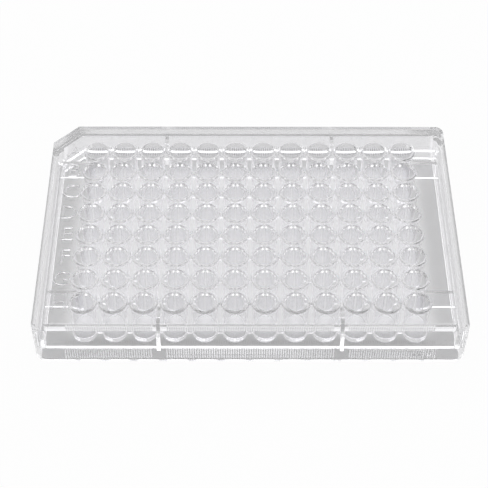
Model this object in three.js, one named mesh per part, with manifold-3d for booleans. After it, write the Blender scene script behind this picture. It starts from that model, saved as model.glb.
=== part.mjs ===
// A clear 96-well plate, moulded in one piece. Millimetres, +Z up, with the origin under the
// middle of the plate on the surface it stands on. +X runs along the rows towards column 12 and
// +Y towards row A, so the cut corner, beside well A1, is the one at -X and +Y.
import * as THREE from "three";
import { mergeVertices } from "three/addons/utils/BufferGeometryUtils.js";
import Module from "manifold-3d";

const wasm = await Module();
wasm.setup();

// Outside of the plate
const LENGTH = 127.76;
const WIDTH = 85.48;
const HEIGHT = 14.35;
const FLANGE_HEIGHT = 6.2;
const FLANGE_CORNER = 3.7;
const WALL_INSET = 0.1; // the wall above the flange stands this far inside it
const WALL_CORNER = 2.6; // tighter than the flange's, so the wall reaches past it at the corners
const LEDGE_RISE = 0.1; // height over which the flange's outline turns into the wall's
const CUT_CORNER = 7.7; // leg of the corner cut off beside well A1

// Walls and deck
const FLANGE_THICKNESS = 1.4;
const WALL_THICKNESS = 3.3;
const WALL_BOTTOM = 5.4; // the wall is thicker than the flange on the inside, down to this height
const HOLLOW_CORNER = 0.6; // inside the wall
const LIP_WIDTH = 1.15; // flat top of the wall
const RIM_STEP = 0.25; // from the top of the lip down to the step inside it
const STEP_WIDTH = 1.9;
const DECK_DROP = 0.5; // from the top of the lip down to the deck
const DECK_THICKNESS = 1.3;
const RECESS_CORNER = 0.8;
const CORNER_PAD = 5; // at each round corner, the step is filled this far in from both sides

// Wells
const ROWS = 8;
const COLUMNS = 12;
const PITCH = 9;
const WELL_DEPTH = 11;
const WELL_MOUTH_RADIUS = 3.55;
const WELL_BASE_RADIUS = 3.25;
const WELL_BASE_THICKNESS = 1.8;
const WELL_OUTER_RADIUS = 4.25;
const RIM_OUTER_RADIUS = 4.1;
const WELL_SIDES = 10;
const OUTER_SIDES = 8;

// Ribs under the deck, between the block of wells and the walls
const RIB_OFFSET = 3; // in pitches either side of the middle
const FRONT_RIB = { side: -1, bottomAtFlange: 4 };
const BACK_RIB = { side: 1, bottomAtFlange: 5.2 };
const LONG_SIDE_RIB = { thickness: 1.3, bottomAtWells: 7.2 };
const SHORT_SIDE_RIB = { thickness: 1.1, bottom: 5.9 };

// A cut runs this far past the face it opens, and a joined piece this far into its carrier.
const OVERRUN = 1;
const EMBED = 0.5;
const CORNER_STEPS = 4;

const deckTop = HEIGHT - DECK_DROP;
const deckBottom = deckTop - DECK_THICKNESS;
const wellBottom = HEIGHT - WELL_DEPTH - WELL_BASE_THICKNESS;
const wallInside = WALL_INSET + WALL_THICKNESS;
const lipInset = WALL_INSET + LIP_WIDTH;

// The plate's outline, moved in by inset: three round corners and the cut one.
function outline(inset, radius) {
  const x = LENGTH / 2 - inset;
  const y = WIDTH / 2 - inset;
  const cut = CUT_CORNER - inset * (2 - Math.SQRT2);
  const points = [new THREE.Vector2(-x + cut, y), new THREE.Vector2(-x, y - cut)];
  const roundCorners = [[-1, -1, Math.PI], [1, -1, -Math.PI / 2], [1, 1, 0]];
  for (const [sideX, sideY, start] of roundCorners) {
    for (let step = 0; step <= CORNER_STEPS; step++) {
      const angle = start + (step / CORNER_STEPS) * (Math.PI / 2);
      points.push(new THREE.Vector2(
        sideX * (x - radius) + radius * Math.cos(angle),
        sideY * (y - radius) + radius * Math.sin(angle),
      ));
    }
  }
  return points;
}

// A closed solid from a geometry whose faces close on themselves.
function solid(geometry) {
  geometry.deleteAttribute("normal");
  geometry.deleteAttribute("uv");
  const merged = mergeVertices(geometry);
  return new wasm.Manifold(new wasm.Mesh({
    numProp: 3,
    vertProperties: new Float32Array(merged.attributes.position.array),
    triVerts: new Uint32Array(merged.index.array),
  }));
}

// A solid through outlines at rising heights; each level is [height, inset, corner radius].
function loft(levels) {
  const rings = levels.map(([z, inset, radius]) => ({ z, points: outline(inset, radius) }));
  const count = rings[0].points.length;
  const positions = rings.flatMap(({ z, points }) => points.flatMap(({ x, y }) => [x, y, z]));
  const indices = [];
  for (let level = 0; level < rings.length - 1; level++) {
    for (let i = 0; i < count; i++) {
      const next = (i + 1) % count;
      const [a, b] = [level * count + i, level * count + next];
      indices.push(a, b, b + count, a, b + count, a + count);
    }
  }
  const top = (rings.length - 1) * count;
  for (const [a, b, c] of THREE.ShapeUtils.triangulateShape(rings[0].points, [])) {
    indices.push(a, c, b, top + a, top + b, top + c);
  }
  const geometry = new THREE.BufferGeometry();
  geometry.setAttribute("position", new THREE.Float32BufferAttribute(positions, 3));
  geometry.setIndex(indices);
  return solid(geometry);
}

// An upright cylinder or cone at x, y from one height to another.
function upright(x, y, bottom, top, bottomRadius, topRadius, sides, turn = 0) {
  const geometry = new THREE.CylinderGeometry(
    topRadius, bottomRadius, top - bottom, sides, 1, false, turn,
  );
  geometry.rotateX(Math.PI / 2);
  geometry.translate(x, y, (top + bottom) / 2);
  return solid(geometry);
}

function block(low, high) {
  const geometry = new THREE.BoxGeometry(high[0] - low[0], high[1] - low[1], high[2] - low[2]);
  geometry.translate((low[0] + high[0]) / 2, (low[1] + high[1]) / 2, (low[2] + high[2]) / 2);
  return solid(geometry);
}

function wellCentres() {
  const centres = [];
  for (let row = 0; row < ROWS; row++) {
    for (let column = 0; column < COLUMNS; column++) {
      centres.push([
        (column - (COLUMNS - 1) / 2) * PITCH,
        ((ROWS - 1) / 2 - row) * PITCH,
      ]);
    }
  }
  return centres;
}

// The flange and the wall above it, hollow from below up to the deck.
function makeShell() {
  const outside = loft([
    [0, 0, FLANGE_CORNER],
    [FLANGE_HEIGHT, 0, FLANGE_CORNER],
    [FLANGE_HEIGHT + LEDGE_RISE, WALL_INSET, WALL_CORNER],
    [HEIGHT, WALL_INSET, WALL_CORNER],
  ]);
  const flangeHollowCorner = FLANGE_CORNER - FLANGE_THICKNESS;
  const flangeHollow = loft([
    [-OVERRUN, FLANGE_THICKNESS, flangeHollowCorner],
    [WALL_BOTTOM, FLANGE_THICKNESS, flangeHollowCorner],
  ]);
  const wallHollow = loft([
    [WALL_BOTTOM - OVERRUN, wallInside, HOLLOW_CORNER],
    [deckBottom, wallInside, HOLLOW_CORNER],
  ]);
  return outside.subtract(flangeHollow).subtract(wallHollow);
}

// What is taken out inside the lip: a step all round, then the deck, but not the corner pads.
function makeRecess() {
  const deckInset = lipInset + STEP_WIDTH;
  const top = HEIGHT + OVERRUN;
  const step = loft([
    [HEIGHT - RIM_STEP, lipInset, RECESS_CORNER],
    [top, lipInset, RECESS_CORNER],
  ]);
  const deck = loft([[deckTop, deckInset, RECESS_CORNER], [top, deckInset, RECESS_CORNER]]);
  let recess = step.add(deck);
  for (const [sideX, sideY] of [[-1, -1], [1, -1], [1, 1]]) {
    const corner = [sideX * LENGTH / 2, sideY * WIDTH / 2];
    const inner = [corner[0] - sideX * CORNER_PAD, corner[1] - sideY * CORNER_PAD];
    recess = recess.subtract(block(
      [Math.min(corner[0], inner[0]), Math.min(corner[1], inner[1]), 0],
      [Math.max(corner[0], inner[0]), Math.max(corner[1], inner[1]), top + OVERRUN],
    ));
  }
  return recess;
}

// The outside of a well: an upright octagon round its wall, whose corners run into those of the
// neighbouring wells as the webs between them, and a raised rim on the deck.
function makeWellBody([x, y]) {
  const toCorner = 1 / Math.cos(Math.PI / OUTER_SIDES);
  const bodyRadius = WELL_OUTER_RADIUS * toCorner;
  const rimRadius = RIM_OUTER_RADIUS * toCorner;
  const body = upright(x, y, wellBottom, deckTop - EMBED, bodyRadius, bodyRadius, OUTER_SIDES);
  const rim = upright(
    x, y, deckTop - EMBED, HEIGHT, rimRadius, rimRadius, OUTER_SIDES, Math.PI / OUTER_SIDES,
  );
  return body.add(rim);
}

function makeWellHollow([x, y]) {
  const floor = HEIGHT - WELL_DEPTH;
  const draft = (WELL_MOUTH_RADIUS - WELL_BASE_RADIUS) / WELL_DEPTH;
  return upright(
    x, y, floor, HEIGHT + OVERRUN,
    WELL_BASE_RADIUS, WELL_MOUTH_RADIUS + draft * OVERRUN, WELL_SIDES,
  );
}

// A rib from the front or back row of wells to the flange. Its lower edge rises to the wells.
function makeLongSideRib(x, { side, bottomAtFlange }) {
  const { thickness, bottomAtWells } = LONG_SIDE_RIB;
  const wells = side * ((ROWS - 1) / 2) * PITCH;
  const flange = side * (WIDTH / 2 - FLANGE_THICKNESS + EMBED);
  const top = deckTop - EMBED;
  const profile = [[wells, bottomAtWells], [wells, top], [flange, bottomAtFlange], [flange, top]];
  const sides = [x - thickness / 2, x + thickness / 2];
  return wasm.Manifold.hull(sides.flatMap((sideX) => profile.map(([y, z]) => [sideX, y, z])));
}

// Eight ribs: two on each long side and two on each short side.
function makeRibs() {
  const lastColumn = ((COLUMNS - 1) / 2) * PITCH;
  const wallX = LENGTH / 2 - wallInside + EMBED;
  const top = deckTop - EMBED;
  const ribs = [];
  for (const side of [-1, 1]) {
    const middle = side * RIB_OFFSET * PITCH;
    const near = middle - SHORT_SIDE_RIB.thickness / 2;
    const far = middle + SHORT_SIDE_RIB.thickness / 2;
    ribs.push(
      makeLongSideRib(middle, FRONT_RIB),
      makeLongSideRib(middle, BACK_RIB),
      block([lastColumn, near, SHORT_SIDE_RIB.bottom], [wallX, far, top]),
      block([-wallX, near, SHORT_SIDE_RIB.bottom], [-lastColumn, far, top]),
    );
  }
  return ribs;
}

function makePlate() {
  const centres = wellCentres();
  let plate = makeShell().subtract(makeRecess());
  for (const part of [...centres.map(makeWellBody), ...makeRibs()]) {
    plate = plate.add(part);
  }
  for (const hollow of centres.map(makeWellHollow)) {
    plate = plate.subtract(hollow);
  }
  return plate;
}

function toGeometry(manifold) {
  const { vertProperties, triVerts } = manifold.getMesh();
  const geometry = new THREE.BufferGeometry();
  geometry.setAttribute("position", new THREE.BufferAttribute(vertProperties, 3));
  geometry.setIndex(new THREE.BufferAttribute(triVerts, 1));
  geometry.computeVertexNormals();
  return geometry;
}

const clearPlastic = new THREE.MeshStandardMaterial({
  name: "clear_plastic",
  color: 0xe9edef,
  roughness: 0.12,
  metalness: 0,
  transparent: true,
  opacity: 0.4,
});

const wellPlate = new THREE.Mesh(toGeometry(makePlate()), clearPlastic);
wellPlate.name = "well_plate";

const group = new THREE.Group();
group.add(wellPlate);

export default group;
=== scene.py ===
import math
import bpy
from mathutils import Matrix, Vector


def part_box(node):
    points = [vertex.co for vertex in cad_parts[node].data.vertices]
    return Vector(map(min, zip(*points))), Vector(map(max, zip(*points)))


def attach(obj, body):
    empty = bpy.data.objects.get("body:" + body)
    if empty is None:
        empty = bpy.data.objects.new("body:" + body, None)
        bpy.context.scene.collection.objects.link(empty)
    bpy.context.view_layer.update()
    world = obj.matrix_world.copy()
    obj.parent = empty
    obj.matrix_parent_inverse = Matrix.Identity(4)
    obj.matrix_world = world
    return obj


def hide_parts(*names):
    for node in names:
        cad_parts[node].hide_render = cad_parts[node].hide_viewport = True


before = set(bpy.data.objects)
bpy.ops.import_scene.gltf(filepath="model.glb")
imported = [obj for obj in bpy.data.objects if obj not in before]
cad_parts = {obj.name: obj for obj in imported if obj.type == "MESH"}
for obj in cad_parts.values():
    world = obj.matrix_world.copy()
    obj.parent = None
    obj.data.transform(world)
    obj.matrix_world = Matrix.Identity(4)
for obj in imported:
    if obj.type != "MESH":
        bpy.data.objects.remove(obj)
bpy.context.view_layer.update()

# The clear plate is one moulding, so it is one piece here. It is modelled in metres in the frame's
# own place: +X along the rows towards column 12, +Y towards row A, the cut corner at -X, +Y.
MM = 0.001
LOW, HIGH = (Vector(corner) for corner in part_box("well_plate"))
LENGTH = HIGH.x - LOW.x
WIDTH = HIGH.y - LOW.y
TOP = HIGH.z

# Flange, wall and deck
FLANGE_HEIGHT = 6.2 * MM
FLANGE_CORNER = 3.7 * MM
FLANGE_THICKNESS = 1.4 * MM
CUT_CORNER = 7.7 * MM
WALL_INSET = 0.1 * MM
WALL_CORNER = 2.6 * MM
WALL_THICKNESS = 3.3 * MM
WALL_BOTTOM = 5.4 * MM
LIP_WIDTH = 1.15 * MM
RIM_STEP = 0.25 * MM
STEP_WIDTH = 1.9 * MM
HOLLOW_CORNER = 0.6 * MM
DECK_DROP = 0.5 * MM
DECK_THICKNESS = 1.3 * MM
DECK_TOP = TOP - DECK_DROP
DECK_BOTTOM = DECK_TOP - DECK_THICKNESS
CORNER_PAD = 5.0 * MM
PAD_ROUND = 0.15 * MM
EDGE_ROUND = 0.16 * MM

# Wells
ROWS = "ABCDEFGH"
COLUMNS = 12
PITCH = 9.0 * MM
WELL_SIDES = 32
WELL_DEPTH = 11.0 * MM
WELL_BASE_THICKNESS = 1.8 * MM
WELL_FLOOR = TOP - WELL_DEPTH
WELL_BOTTOM = WELL_FLOOR - WELL_BASE_THICKNESS
MOUTH_RADIUS = 3.52 * MM
BASE_RADIUS = 3.25 * MM
OUTER_RADIUS = 3.92 * MM
FOOT_RADIUS = 3.88 * MM
RIM_RADIUS = 4.15 * MM

# Webs between the wells, and ribs from the wells to the flange and the walls
WEB = 0.9 * MM
WEB_RISE = 0.2 * MM
RIB_PITCHES = 3
LONG_RIB = 1.1 * MM
FRONT_RIB_FOOT = 4.0 * MM  # lower edge at the flange, from where it rises to the wells
BACK_RIB_FOOT = 5.2 * MM
LONG_RIB_AT_WELLS = 7.2 * MM
SHORT_RIB = 1.1 * MM
SHORT_RIB_BOTTOM = 5.9 * MM

# Serrations on the long sides: grooves in three stretches, with plain gaps at the ribs
GROOVE_PITCH = 0.7 * MM
GROOVE_RADIUS = 0.2 * MM
GROOVE_DEPTH = 0.2 * MM
GROOVE_TIP = 0.6 * MM
GROOVE_BOTTOM = 1.1 * MM
GROOVE_TOP = 6.0 * MM
OUTER_STRETCH = (29.3 * MM, 54.4 * MM)
MIDDLE_STRETCH_END = 24.5 * MM

# Raised row letters
LETTER_X = -56.5 * MM
LETTER_HEIGHT = 5.8 * MM
LETTER_RAISE = 0.45 * MM
LETTER_EDGE = 0.22 * MM
CAP_HEIGHT = 0.73  # of a capital, as a share of the text's size
LETTER_BAND = (-60.3 * MM, -53.9 * MM)  # along X, from the letters' one side to the other

# A joined piece runs this far into its carrier.
EMBED = 0.4 * MM

SMOOTH_ANGLE = math.radians(32)
ROUNDED_ANGLE = math.radians(20)

# How much of the ground is white glow, by the way a ray reaches it. The rest is lit and shadowed.
# Seen through the plate, the glow is painted light: least under the hollow rim, a painted pool of
# light under the wells, and painted light beside and in front of the plate, over its shadow.
SEEN_DIRECTLY = 0.97
IN_REFLECTION = 0.9
PAINTED_GLOW_UNDER_RIM = 0.21
PAINTED_POOL_UNDER_WELLS = 0.62
PAINTED_LIGHT_BESIDE_PLATE = 0.55
PAINTED_LIGHT_IN_FRONT = 0.95

# Where those shares change, as the start and the end of each soft edge
WELLS_SIDE_EDGE = (51 * MM, 59 * MM)
WELLS_FRONT_EDGE = (-33.5 * MM, -27.5 * MM)
WELLS_BACK_EDGE = (33 * MM, 39 * MM)
PLATE_SIDE_EDGE = (62.2 * MM, 63.2 * MM)
PLATE_FRONT_EDGE = (-42.2 * MM, -41.2 * MM)
PLATE_BACK_EDGE = (42.2 * MM, 43.2 * MM)
GROUND_SIZE = 6
GROUND_GAP = 0.02 * MM
GROUND_COLOUR = (0.7, 0.7, 0.7, 1)

# Clear polystyrene
REFRACTIVE_INDEX = 1.59
DARKER_TINT = (0.98, 0.979, 0.991, 1)
LIGHTER_TINT = (0.992, 0.99, 1.0, 1)
UNEVENNESS = 0.1 * MM

# Light and camera
SKY_LIGHT = 0.95
SOFTBOX_PLACE = (0, 0.85, 0.95)
SOFTBOX_SIZE = (1.3, 0.9)
SOFTBOX_WATTS = 3.3
CAMERA_PLACE = (-0.003436, -0.285736, 0.328268)
CAMERA_LENS = 101.07
CAMERA_SENSOR = 36
CAMERA_PITCH = math.radians(48.602)
CAMERA_TURN = math.radians(0.333)
CAMERA_ROLL = math.radians(0.31)
MOST_BOUNCES = 48
MOST_REFLECTIONS = 40


# ---------------------------------------------------------------- modelling helpers

def clear_selection():
    if bpy.context.object and bpy.context.object.mode != "OBJECT":
        bpy.ops.object.mode_set(mode="OBJECT")
    bpy.ops.object.select_all(action="DESELECT")


def start(name):
    """Name the primitive just added and bring its place into its mesh."""
    piece = bpy.context.object
    piece.name = name
    piece.data.name = name
    bpy.ops.object.transform_apply(location=True, rotation=True, scale=True)
    return piece


def add_box(name, low, high):
    clear_selection()
    low, high = Vector(low), Vector(high)
    bpy.ops.mesh.primitive_cube_add(size=1, location=(low + high) / 2, scale=high - low)
    return start(name)


def select_faces(piece, wanted):
    """In edit mode, select just the faces that the test accepts."""
    bpy.ops.mesh.select_mode(type="FACE")
    bpy.ops.mesh.select_all(action="DESELECT")
    bpy.ops.object.mode_set(mode="OBJECT")
    for face in piece.data.polygons:
        face.select = wanted(face)
    bpy.ops.object.mode_set(mode="EDIT")


def select_corners(piece, wanted):
    """In edit mode, select just the vertices that the test accepts."""
    bpy.ops.mesh.select_mode(type="VERT")
    bpy.ops.mesh.select_all(action="DESELECT")
    bpy.ops.object.mode_set(mode="OBJECT")
    for vertex in piece.data.vertices:
        vertex.select = wanted(vertex.co)
    bpy.ops.object.mode_set(mode="EDIT")


def extrude(rise):
    bpy.ops.mesh.extrude_region_move(TRANSFORM_OT_translate={"value": (0, 0, rise)})


def outward():
    bpy.ops.mesh.select_all(action="SELECT")
    bpy.ops.mesh.normals_make_consistent(inside=False)
    bpy.ops.object.mode_set(mode="OBJECT")


def turned(name, profile, sides=WELL_SIDES):
    """A closed round piece on the Z axis through rings given as (height, radius), rising."""
    clear_selection()
    height, radius = profile[0]
    bpy.ops.mesh.primitive_circle_add(
        vertices=sides, radius=radius, fill_type="NGON", location=(0, 0, height))
    piece = start(name)
    bpy.ops.object.mode_set(mode="EDIT")
    bpy.ops.mesh.select_mode(type="FACE")
    bpy.ops.mesh.select_all(action="SELECT")
    for next_height, next_radius in profile[1:]:
        extrude(next_height - height)
        scale = next_radius / radius
        bpy.ops.transform.resize(value=(scale, scale, 1), center_override=(0, 0, next_height))
        height, radius = next_height, next_radius
    outward()
    return piece


def apply_modifier(piece, kind, **settings):
    clear_selection()
    piece.select_set(True)
    bpy.context.view_layer.objects.active = piece
    modifier = piece.modifiers.new(kind.title(), kind)
    for setting, value in settings.items():
        setattr(modifier, setting, value)
    bpy.ops.object.modifier_apply(modifier=modifier.name)


def move(piece, x, y):
    piece.data.transform(Matrix.Translation((x, y, 0)))


def repeat(piece, count_x, count_y, pitch_x, pitch_y):
    """A grid of copies, with the first where the piece stands."""
    for count, offset in ((count_x, (pitch_x, 0, 0)), (count_y, (0, pitch_y, 0))):
        if count > 1:
            apply_modifier(
                piece, "ARRAY", count=count, use_relative_offset=False,
                use_constant_offset=True, constant_offset_displace=offset)


def combine(piece, tool, operation):
    """Join or cut the piece with a tool, which is used up."""
    apply_modifier(piece, "BOOLEAN", operation=operation, object=tool, solver="MANIFOLD")
    bpy.data.objects.remove(tool)


def copy_of(piece, name):
    twin = piece.copy()
    twin.data = piece.data.copy()
    twin.name = name
    bpy.context.collection.objects.link(twin)
    return twin


# ---------------------------------------------------------------- the plate's parts

def prism(name, inset, corner, low, high):
    """The plate's outline, moved in by inset, from one height to another."""
    clear_selection()
    bpy.ops.mesh.primitive_plane_add(size=1, location=(0, 0, low))
    bpy.context.object.scale = (LENGTH - 2 * inset, WIDTH - 2 * inset, 1)
    piece = start(name)
    bpy.ops.object.mode_set(mode="EDIT")
    select_corners(piece, lambda place: place.x > 0 or place.y < 0)
    bpy.ops.mesh.bevel(offset=corner, segments=8, affect="VERTICES")
    select_corners(piece, lambda place: place.x < -LENGTH / 4 and place.y > WIDTH / 2 - inset - 1e-6)
    cut = CUT_CORNER - inset * (2 - math.sqrt(2))
    bpy.ops.mesh.bevel(offset=cut, segments=1, affect="VERTICES")
    bpy.ops.mesh.select_mode(type="FACE")
    bpy.ops.mesh.select_all(action="SELECT")
    extrude(high - low)
    return piece


def round_edges(piece):
    apply_modifier(
        piece, "BEVEL", width=EDGE_ROUND, segments=2, limit_method="ANGLE",
        angle_limit=ROUNDED_ANGLE)


def make_shell():
    """Flange, wall, lip, step and deck, hollow from below."""
    low = FLANGE_HEIGHT - EDGE_ROUND
    shell = prism("clear_plate", WALL_INSET, WALL_CORNER, low, TOP)
    bpy.ops.mesh.inset(thickness=LIP_WIDTH, depth=0)
    extrude(-RIM_STEP)
    bpy.ops.mesh.inset(thickness=STEP_WIDTH, depth=0)
    extrude(DECK_TOP - (TOP - RIM_STEP))
    outward()
    round_edges(shell)

    flange = prism("flange", 0, FLANGE_CORNER, 0, FLANGE_HEIGHT)
    outward()
    round_edges(flange)
    combine(shell, flange, "UNION")

    inner_corner = FLANGE_CORNER - FLANGE_THICKNESS
    hollow = prism("flange_hollow", FLANGE_THICKNESS, inner_corner, -EMBED, WALL_BOTTOM)
    outward()
    combine(shell, hollow, "DIFFERENCE")
    wall_inside = WALL_INSET + WALL_THICKNESS
    hollow = prism("wall_hollow", wall_inside, HOLLOW_CORNER, WALL_BOTTOM - EMBED, DECK_BOTTOM)
    outward()
    combine(shell, hollow, "DIFFERENCE")
    return shell


def add_corner_pads(shell):
    """The step inside the lip is filled in at the three round corners."""
    edge = WALL_INSET + LIP_WIDTH / 2
    for side_x, side_y in ((-1, -1), (1, -1), (1, 1)):
        near = Vector((side_x * (LENGTH / 2 - edge), side_y * (WIDTH / 2 - edge), 0))
        far = Vector((side_x * (LENGTH / 2 - CORNER_PAD), side_y * (WIDTH / 2 - CORNER_PAD), 0))
        low = (min(near.x, far.x), min(near.y, far.y), DECK_TOP - EMBED)
        high = (max(near.x, far.x), max(near.y, far.y), TOP - EDGE_ROUND / 2)
        pad = add_box("corner_pad", low, high)
        apply_modifier(pad, "BEVEL", width=PAD_ROUND, segments=2)
        combine(shell, pad, "UNION")


def well_profile():
    """A well's outside, from its bottom up through the deck to its rounded rim."""
    return (
        (WELL_BOTTOM, FOOT_RADIUS - 0.5 * MM),
        (WELL_BOTTOM + 0.07 * MM, FOOT_RADIUS - 0.24 * MM),
        (WELL_BOTTOM + 0.24 * MM, FOOT_RADIUS - 0.07 * MM),
        (WELL_BOTTOM + 0.5 * MM, FOOT_RADIUS),
        (DECK_TOP - 0.3 * MM, OUTER_RADIUS),
        (DECK_TOP - 0.05 * MM, RIM_RADIUS + 0.3 * MM),
        (DECK_TOP + 0.06 * MM, RIM_RADIUS + 0.15 * MM),
        (DECK_TOP + 0.2 * MM, RIM_RADIUS + 0.03 * MM),
        (TOP - 0.12 * MM, RIM_RADIUS),
        (TOP - 0.03 * MM, RIM_RADIUS - 0.04 * MM),
        (TOP, RIM_RADIUS - 0.12 * MM),
    )


def mouth_profile():
    """The hollow of a well, from its flat floor up to its rounded mouth."""
    return (
        (WELL_FLOOR, BASE_RADIUS - 0.4 * MM),
        (WELL_FLOOR + 0.06 * MM, BASE_RADIUS - 0.19 * MM),
        (WELL_FLOOR + 0.19 * MM, BASE_RADIUS - 0.05 * MM),
        (WELL_FLOOR + 0.4 * MM, BASE_RADIUS),
        (TOP - 0.15 * MM, MOUTH_RADIUS),
        (TOP - 0.04 * MM, MOUTH_RADIUS + 0.04 * MM),
        (TOP, MOUTH_RADIUS + 0.15 * MM),
        (TOP + 0.3 * MM, MOUTH_RADIUS + 0.7 * MM),
    )


def add_wells(shell):
    first_x = -(COLUMNS - 1) / 2 * PITCH
    first_y = -(len(ROWS) - 1) / 2 * PITCH
    body = turned("well_body", well_profile())
    # Neighbouring wells touch, so every second one is joined at a time.
    for start_column in range(2):
        for start_row in range(2):
            bodies = copy_of(body, "well_bodies")
            move(bodies, first_x + start_column * PITCH, first_y + start_row * PITCH)
            repeat(bodies, COLUMNS // 2, len(ROWS) // 2, 2 * PITCH, 2 * PITCH)
            combine(shell, bodies, "UNION")
    bpy.data.objects.remove(body)

    half = WEB / 2
    reach_x = -first_x
    reach_y = -first_y
    low, high = WELL_BOTTOM + WEB_RISE, DECK_TOP - EMBED
    along = add_box("row_web", (-reach_x, first_y - half, low), (reach_x, first_y + half, high))
    repeat(along, 1, len(ROWS), 0, PITCH)
    combine(shell, along, "UNION")
    across = add_box("column_web", (first_x - half, -reach_y, low), (first_x + half, reach_y, high))
    repeat(across, COLUMNS, 1, PITCH, 0)
    combine(shell, across, "UNION")

    add_ribs(shell, reach_x, reach_y)

    mouths = turned("mouths", mouth_profile())
    move(mouths, first_x, first_y)
    repeat(mouths, COLUMNS, len(ROWS), PITCH, PITCH)
    combine(shell, mouths, "DIFFERENCE")


def add_ribs(shell, reach_x, reach_y):
    """Long-side ribs, whose lower edge rises from the flange to the wells, and short-side ribs."""
    wall_x = LENGTH / 2 - WALL_THICKNESS
    flange_y = WIDTH / 2 - FLANGE_THICKNESS / 2
    top = DECK_TOP - EMBED

    def at_wells_below(corner):
        return abs(corner.y) < WIDTH / 2 - PITCH and corner.z < top - PITCH / 2

    for side in (-1, 1):
        place = side * RIB_PITCHES * PITCH
        low_x, high_x = place - LONG_RIB / 2, place + LONG_RIB / 2
        low_y, high_y = place - SHORT_RIB / 2, place + SHORT_RIB / 2
        for near, far, foot in (
            (-flange_y, -reach_y, FRONT_RIB_FOOT), (reach_y, flange_y, BACK_RIB_FOOT),
        ):
            rib = add_box("rib", (low_x, near, foot), (high_x, far, top))
            bpy.ops.object.mode_set(mode="EDIT")
            select_corners(rib, at_wells_below)
            bpy.ops.transform.translate(value=(0, 0, LONG_RIB_AT_WELLS - foot))
            bpy.ops.object.mode_set(mode="OBJECT")
            combine(shell, rib, "UNION")
        for near, far in ((-wall_x, -reach_x), (reach_x, wall_x)):
            rib = add_box("rib", (near, low_y, SHORT_RIB_BOTTOM), (far, high_y, top))
            combine(shell, rib, "UNION")


def groove_profile():
    """A groove of the serrations, pointed at its lower end."""
    return (
        (GROOVE_BOTTOM, GROOVE_RADIUS * 0.1),
        (GROOVE_BOTTOM + GROOVE_TIP, GROOVE_RADIUS),
        (GROOVE_TOP, GROOVE_RADIUS),
    )


def cut_serrations(shell):
    near, far = OUTER_STRETCH
    stretches = ((-far, -near), (-MIDDLE_STRETCH_END, MIDDLE_STRETCH_END), (near, far))
    for side in (-1, 1):
        for first, last in stretches:
            count = round((last - first) / GROOVE_PITCH) + 1
            grooves = turned("grooves", groove_profile(), 4)
            grooves.data.transform(Matrix.Scale(GROOVE_DEPTH / GROOVE_RADIUS, 4, (0, 1, 0)))
            move(grooves, first, side * WIDTH / 2)
            repeat(grooves, count, 1, GROOVE_PITCH, 0)
            combine(shell, grooves, "DIFFERENCE")


def add_letters(shell):
    for row, letter in enumerate(ROWS):
        clear_selection()
        bpy.ops.object.text_add()
        text = bpy.context.object
        text.data.body = letter
        text.data.align_x = "CENTER"
        text.data.align_y = "CENTER"
        text.data.size = LETTER_HEIGHT / CAP_HEIGHT
        text.data.extrude = (LETTER_RAISE + EMBED) / 2 - LETTER_EDGE
        text.data.bevel_depth = LETTER_EDGE
        text.data.offset = -LETTER_EDGE / 2
        text.data.resolution_u = 4
        bpy.ops.object.convert(target="MESH")
        raised = start("row_letter")
        move(raised, LETTER_X, ((len(ROWS) - 1) / 2 - row) * PITCH)
        raised.data.transform(Matrix.Translation((0, 0, DECK_TOP + (LETTER_RAISE - EMBED) / 2)))
        bpy.ops.object.mode_set(mode="EDIT")
        bpy.ops.mesh.select_all(action="SELECT")
        bpy.ops.mesh.remove_doubles(threshold=1e-6)
        outward()
        combine(shell, raised, "UNION")


def make_plate():
    plate = make_shell()
    add_corner_pads(plate)
    add_wells(plate)
    cut_serrations(plate)
    add_letters(plate)
    clear_selection()
    plate.select_set(True)
    bpy.context.view_layer.objects.active = plate
    bpy.ops.object.shade_smooth_by_angle(angle=SMOOTH_ANGLE)
    apply_modifier(plate, "WEIGHTED_NORMAL", keep_sharp=True)
    return plate


# ---------------------------------------------------------------- materials

def new_material(name):
    material = bpy.data.materials.new(name)
    material.use_nodes = True
    nodes = material.node_tree.nodes
    nodes.clear()
    return material, nodes, material.node_tree.links


def math_node(nodes, links, operation, first, second):
    """A Math node of two values, each a number or another node's output."""
    node = nodes.new("ShaderNodeMath")
    node.operation = operation
    for socket, value in zip(node.inputs, (first, second)):
        if isinstance(value, (int, float)):
            socket.default_value = value
        else:
            links.new(value, socket)
    return node.outputs[0]


def letter_mask(nodes, links, place):
    """1 on the faces of the raised row letters."""
    split = nodes.new("ShaderNodeSeparateXYZ")
    links.new(place, split.inputs["Vector"])
    past_start = math_node(nodes, links, "GREATER_THAN", split.outputs["X"], LETTER_BAND[0])
    before_end = math_node(nodes, links, "LESS_THAN", split.outputs["X"], LETTER_BAND[1])
    level = DECK_TOP + LETTER_RAISE / 2
    above_deck = math_node(nodes, links, "GREATER_THAN", split.outputs["Z"], level)
    in_band = math_node(nodes, links, "MULTIPLY", past_start, before_end)
    return math_node(nodes, links, "MULTIPLY", in_band, above_deck)


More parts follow.
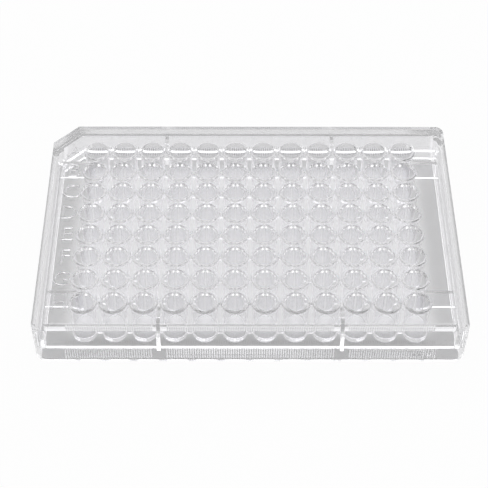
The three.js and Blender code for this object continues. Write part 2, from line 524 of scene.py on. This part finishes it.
def make_moulded_surface():
    """Shader group: the faint unevenness that a polished mould leaves on clear plastic."""
    group = bpy.data.node_groups.new("moulded_surface", "ShaderNodeTree")
    for socket, value in (
        ("Scale", 60.0), ("Least Roughness", 0.02),
        ("Most Roughness", 0.06), ("Letter Roughness", 0.1),
    ):
        item = group.interface.new_socket(socket, in_out="INPUT", socket_type="NodeSocketFloat")
        item.default_value = value
    for socket in ("Roughness", "Height", "Tint"):
        group.interface.new_socket(socket, in_out="OUTPUT", socket_type="NodeSocketFloat")
    nodes, links = group.nodes, group.links
    inside = nodes.new("NodeGroupInput")
    outside = nodes.new("NodeGroupOutput")
    place = nodes.new("ShaderNodeTexCoord")
    flow = nodes.new("ShaderNodeTexNoise")
    flow.inputs["Detail"].default_value = 3
    flow.inputs["Roughness"].default_value = 0.55
    rough = nodes.new("ShaderNodeMapRange")
    links.new(place.outputs["Object"], flow.inputs["Vector"])
    links.new(inside.outputs["Scale"], flow.inputs["Scale"])
    links.new(flow.outputs["Fac"], rough.inputs["Value"])
    rough.inputs["From Min"].default_value = 0.3
    rough.inputs["From Max"].default_value = 0.7
    links.new(inside.outputs["Least Roughness"], rough.inputs["To Min"])
    links.new(inside.outputs["Most Roughness"], rough.inputs["To Max"])
    raised = letter_mask(nodes, links, place.outputs["Object"])
    matt = nodes.new("ShaderNodeMix")
    links.new(raised, matt.inputs["Factor"])
    links.new(rough.outputs["Result"], matt.inputs["A"])
    links.new(inside.outputs["Letter Roughness"], matt.inputs["B"])
    links.new(matt.outputs["Result"], outside.inputs["Roughness"])
    links.new(flow.outputs["Fac"], outside.inputs["Height"])
    links.new(flow.outputs["Fac"], outside.inputs["Tint"])
    return group


def make_clear_plastic():
    material, nodes, links = new_material("clear_polystyrene")
    output = nodes.new("ShaderNodeOutputMaterial")
    shader = nodes.new("ShaderNodeBsdfPrincipled")
    surface = nodes.new("ShaderNodeGroup")
    surface.node_tree = make_moulded_surface()
    tint = nodes.new("ShaderNodeMix")
    tint.data_type = "RGBA"
    tint.inputs["A"].default_value = DARKER_TINT
    tint.inputs["B"].default_value = LIGHTER_TINT
    bump = nodes.new("ShaderNodeBump")
    bump.inputs["Strength"].default_value = 0.04
    bump.inputs["Distance"].default_value = UNEVENNESS
    shader.inputs["Transmission Weight"].default_value = 1
    shader.inputs["IOR"].default_value = REFRACTIVE_INDEX
    links.new(surface.outputs["Tint"], tint.inputs["Factor"])
    links.new(tint.outputs["Result"], shader.inputs["Base Color"])
    links.new(surface.outputs["Roughness"], shader.inputs["Roughness"])
    links.new(surface.outputs["Height"], bump.inputs["Height"])
    links.new(bump.outputs["Normal"], shader.inputs["Normal"])
    links.new(shader.outputs["BSDF"], output.inputs["Surface"])
    return material


# ---------------------------------------------------------------- floor, light and camera

def ramp(nodes, links, value, edge, low, high):
    """low before the edge, high past it, and a smooth change over it."""
    first, last = edge
    node = nodes.new("ShaderNodeMapRange")
    node.interpolation_type = "SMOOTHSTEP"
    links.new(value, node.inputs["Value"])
    for socket, number in (
        ("From Min", first), ("From Max", last), ("To Min", low), ("To Max", high),
    ):
        node.inputs[socket].default_value = number
    return node.outputs["Result"]


def make_floor():
    """White ground. Seen through the plate, its glow is painted light: least under the hollow rim,
    so it is dim there, a painted pool of light under the wells, and painted white again in front of
    the plate."""
    clear_selection()
    bpy.ops.mesh.primitive_plane_add(size=GROUND_SIZE, location=(0, 0, LOW.z - GROUND_GAP))
    floor = start("floor")
    material, nodes, links = new_material("white_ground")
    output = nodes.new("ShaderNodeOutputMaterial")
    plain = nodes.new("ShaderNodeBsdfDiffuse")
    plain.inputs["Color"].default_value = GROUND_COLOUR
    glow = nodes.new("ShaderNodeEmission")
    glow.inputs["Strength"].default_value = 1
    mix = nodes.new("ShaderNodeMixShader")
    path = nodes.new("ShaderNodeLightPath")
    place = nodes.new("ShaderNodeTexCoord")
    split = nodes.new("ShaderNodeSeparateXYZ")
    links.new(place.outputs["Object"], split.inputs["Vector"])

    def calculate(operation, first, second):
        return math_node(nodes, links, operation, first, second)

    def field(side_edge, front_edge, back_edge):
        """1 inside the edges and 0 outside."""
        across = calculate(
            "MULTIPLY",
            ramp(nodes, links, depth, front_edge, 0, 1),
            ramp(nodes, links, depth, back_edge, 1, 0))
        return calculate("MULTIPLY", ramp(nodes, links, along, side_edge, 1, 0), across)

    along = calculate("ABSOLUTE", split.outputs["X"], 0)
    depth = split.outputs["Y"]
    # Painted light on the ground, seen through the plate and in reflections under it: a pool of
    # light under the wells, with soft edges
    wells = field(WELLS_SIDE_EDGE, WELLS_FRONT_EDGE, WELLS_BACK_EDGE)
    # Painted light on the ground at the plate's sides and in front of it, seen through it; in front
    # it covers the plate's shadow
    beside = ramp(nodes, links, along, PLATE_SIDE_EDGE, 0, PAINTED_LIGHT_BESIDE_PLATE)
    front = ramp(nodes, links, depth, PLATE_FRONT_EDGE, PAINTED_LIGHT_IN_FRONT, 0)
    under = calculate(
        "ADD", calculate("MULTIPLY", wells, PAINTED_POOL_UNDER_WELLS - PAINTED_GLOW_UNDER_RIM), PAINTED_GLOW_UNDER_RIM)
    through = calculate("MAXIMUM", under, calculate("MAXIMUM", beside, front))
    footprint = field(PLATE_SIDE_EDGE, PLATE_FRONT_EDGE, PLATE_BACK_EDGE)
    clear_of_plate = calculate("SUBTRACT", 1, footprint)
    mirrored = calculate("MAXIMUM", under, calculate("MULTIPLY", clear_of_plate, IN_REFLECTION))
    only_mirrored = calculate(
        "SUBTRACT", path.outputs["Is Glossy Ray"], path.outputs["Is Transmission Ray"])
    share = calculate(
        "MAXIMUM",
        calculate("MULTIPLY", path.outputs["Is Camera Ray"], SEEN_DIRECTLY),
        calculate(
            "MAXIMUM",
            calculate("MULTIPLY", path.outputs["Is Transmission Ray"], through),
            calculate("MULTIPLY", only_mirrored, mirrored)))
    links.new(share, mix.inputs["Fac"])
    links.new(plain.outputs["BSDF"], mix.inputs[1])
    links.new(glow.outputs["Emission"], mix.inputs[2])
    links.new(mix.outputs["Shader"], output.inputs["Surface"])
    floor.data.materials.append(material)


def make_world():
    world = bpy.data.worlds.new("studio")
    bpy.context.scene.world = world
    world.use_nodes = True
    nodes, links = world.node_tree.nodes, world.node_tree.links
    nodes.clear()
    output = nodes.new("ShaderNodeOutputWorld")
    soft = nodes.new("ShaderNodeBackground")
    soft.inputs["Strength"].default_value = SKY_LIGHT
    white = nodes.new("ShaderNodeBackground")
    white.inputs["Strength"].default_value = 1
    mix = nodes.new("ShaderNodeMixShader")
    path = nodes.new("ShaderNodeLightPath")
    direct = math_node(
        nodes, links, "MAXIMUM", path.outputs["Is Camera Ray"],
        math_node(
            nodes, links, "MAXIMUM",
            path.outputs["Is Glossy Ray"], path.outputs["Is Transmission Ray"]))
    links.new(direct, mix.inputs["Fac"])
    links.new(soft.outputs["Background"], mix.inputs[1])
    links.new(white.outputs["Background"], mix.inputs[2])
    links.new(mix.outputs["Shader"], output.inputs["Surface"])


def add_softbox():
    """A large lamp above and behind the plate, turned to its middle."""
    clear_selection()
    bpy.ops.object.light_add(type="AREA", location=SOFTBOX_PLACE)
    lamp = bpy.context.object
    lamp.name = "back_softbox"
    lamp.data.shape = "RECTANGLE"
    lamp.data.size, lamp.data.size_y = SOFTBOX_SIZE
    lamp.data.energy = SOFTBOX_WATTS
    lamp.rotation_euler = (-Vector(SOFTBOX_PLACE)).to_track_quat("-Z", "Y").to_euler()


def make_camera():
    clear_selection()
    bpy.ops.object.camera_add()
    camera = bpy.context.object
    camera.name = "camera"
    camera.data.lens = CAMERA_LENS
    camera.data.sensor_width = CAMERA_SENSOR
    camera.data.clip_start = 0.01
    camera.matrix_world = (
        Matrix.Translation(CAMERA_PLACE)
        @ Matrix.Rotation(-CAMERA_TURN, 4, "Z")
        @ Matrix.Rotation(math.pi / 2 - CAMERA_PITCH, 4, "X")
        @ Matrix.Rotation(CAMERA_ROLL, 4, "Z"))
    bpy.context.scene.camera = camera


make_camera()
make_world()
make_floor()
add_softbox()

plate = make_plate()
plate.data.materials.clear()
plate.data.materials.append(make_clear_plastic())
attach(plate, "root")
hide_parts("well_plate")

scene = bpy.context.scene
scene.view_settings.view_transform = "Standard"
scene.cycles.max_bounces = MOST_BOUNCES
scene.cycles.transmission_bounces = MOST_BOUNCES
scene.cycles.glossy_bounces = MOST_REFLECTIONS
